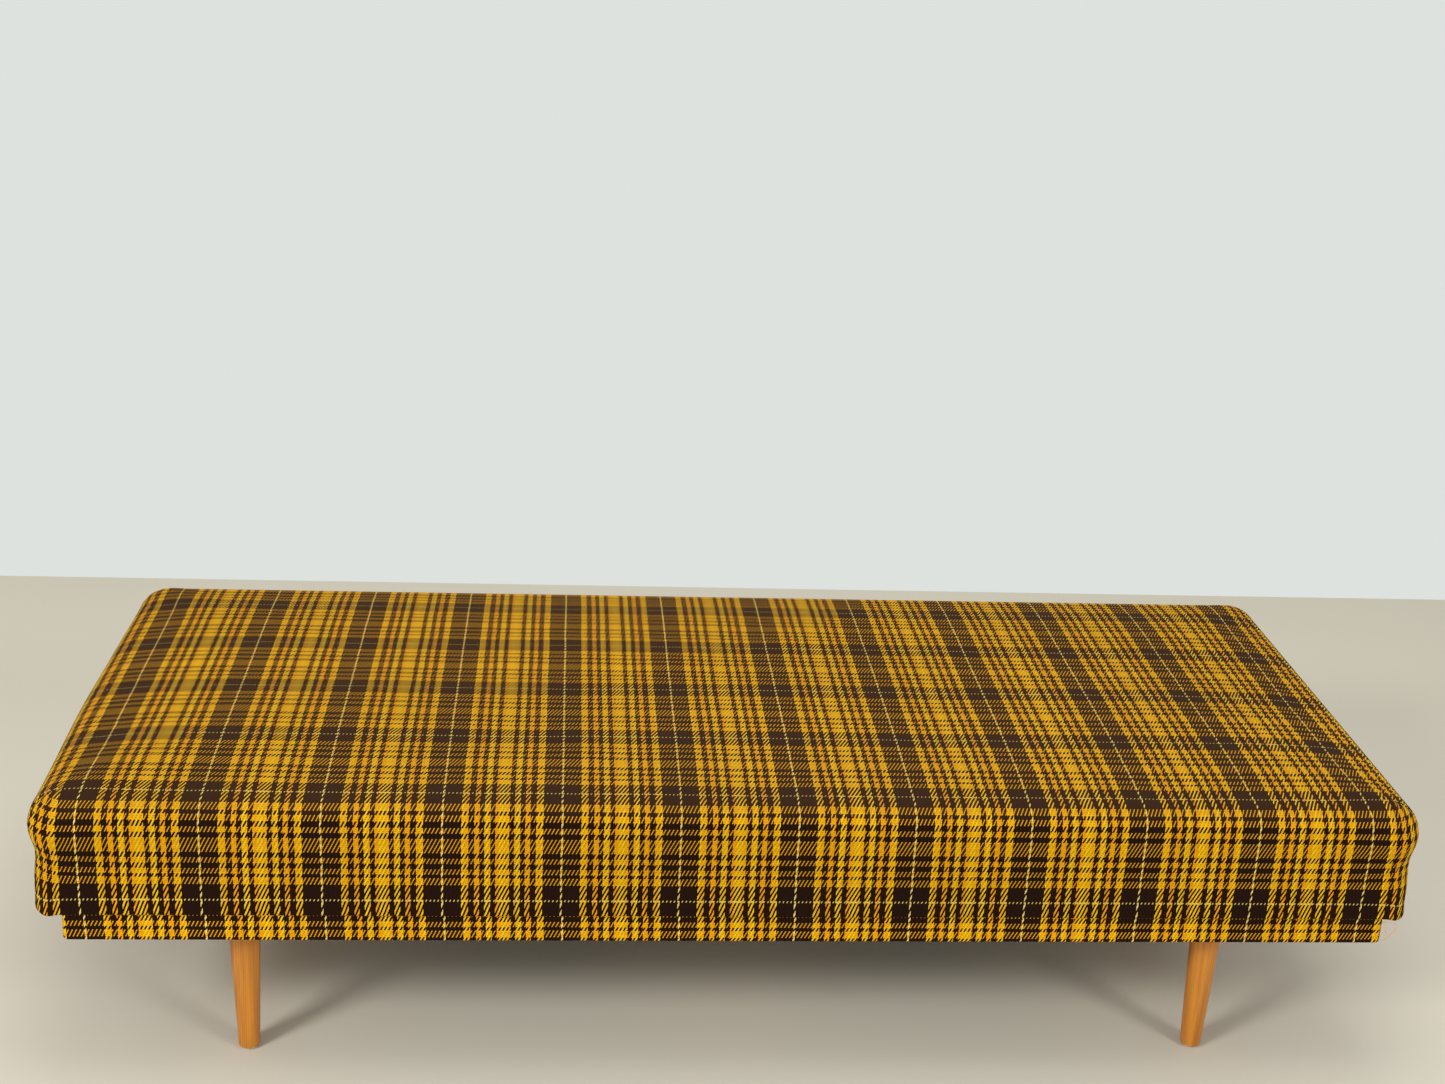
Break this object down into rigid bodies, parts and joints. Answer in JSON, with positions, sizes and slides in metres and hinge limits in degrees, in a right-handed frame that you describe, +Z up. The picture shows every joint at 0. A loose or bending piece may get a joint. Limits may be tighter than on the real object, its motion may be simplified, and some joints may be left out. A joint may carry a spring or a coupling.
{
  "type": "daybed",
  "caption": "Low upholstered daybed: loose plaid-covered sprung mattress on a slim fabric-covered base with tapered beech legs.",
  "frame": {"origin": "on the floor, under the middle of the daybed", "axes": "+X along the length towards the right end, seen from the front; -Y towards the front; +Z up"},
  "size_m": [1.9, 0.806, 0.418],
  "materials": {
    "base_plaid": "matte",
    "mattress_plaid": "matte",
    "leg_beech": "satin",
    "frame_softwood": "matte",
    "cotton_wadding": "matte",
    "black_cloth": "matte",
    "zinc_steel": "satin",
    "spring_steel": "satin",
    "glide_nylon": "matte"
  },
  "bodies": {
    "base": {"base_rail_front": "frame_softwood", "base_rail_back": "frame_softwood", "base_rail_left": "frame_softwood", "base_rail_right": "frame_softwood", "leg_board_left": "frame_softwood", "leg_board_right": "frame_softwood", "middle_board": "frame_softwood", "corner_block_front_left": "frame_softwood", "corner_block_front_right": "frame_softwood", "corner_block_back_left": "frame_softwood", "corner_block_back_right": "frame_softwood", "base_cover_front": "base_plaid", "base_cover_back": "base_plaid", "base_cover_left": "base_plaid", "base_cover_right": "base_plaid", "leg_front_left": "leg_beech", "leg_front_right": "leg_beech", "leg_back_left": "leg_beech", "leg_back_right": "leg_beech", "leg_glide_front_left": "glide_nylon", "leg_glide_front_right": "glide_nylon", "leg_glide_back_left": "glide_nylon", "leg_glide_back_right": "glide_nylon", "leg_bolt_front_left": "zinc_steel", "leg_bolt_front_right": "zinc_steel", "leg_bolt_back_left": "zinc_steel", "leg_bolt_back_right": "zinc_steel", "leg_nut_front_left": "zinc_steel", "leg_nut_front_right": "zinc_steel", "leg_nut_back_left": "zinc_steel", "leg_nut_back_right": "zinc_steel"},
    "mattress": {"pad_rail_front": "frame_softwood", "pad_rail_back": "frame_softwood", "pad_rail_left": "frame_softwood", "pad_rail_right": "frame_softwood", "pad_slat_1": "frame_softwood", "pad_slat_2": "frame_softwood", "pad_slat_3": "frame_softwood", "pad_slat_4": "frame_softwood", "pad_slat_5": "frame_softwood", "pad_slat_6": "frame_softwood", "pad_slat_7": "frame_softwood", "pad_slat_8": "frame_softwood", "pad_slat_9": "frame_softwood", "stop_block_front_left": "frame_softwood", "stop_block_front_right": "frame_softwood", "stop_block_back_left": "frame_softwood", "stop_block_back_right": "frame_softwood", "spring_unit": "spring_steel", "spring_insulator": "cotton_wadding", "top_padding": "cotton_wadding", "border_wadding_front": "cotton_wadding", "border_wadding_back": "cotton_wadding", "border_wadding_left": "cotton_wadding", "border_wadding_right": "cotton_wadding", "mattress_cover": "mattress_plaid", "dust_cover": "black_cloth"}
  },
  "joints": [
    {"name": "mattress_lift", "type": "slide", "parent": "base", "child": "mattress", "axis": [0, 0, 1], "range_m": [0, 0.25]}
  ]
}
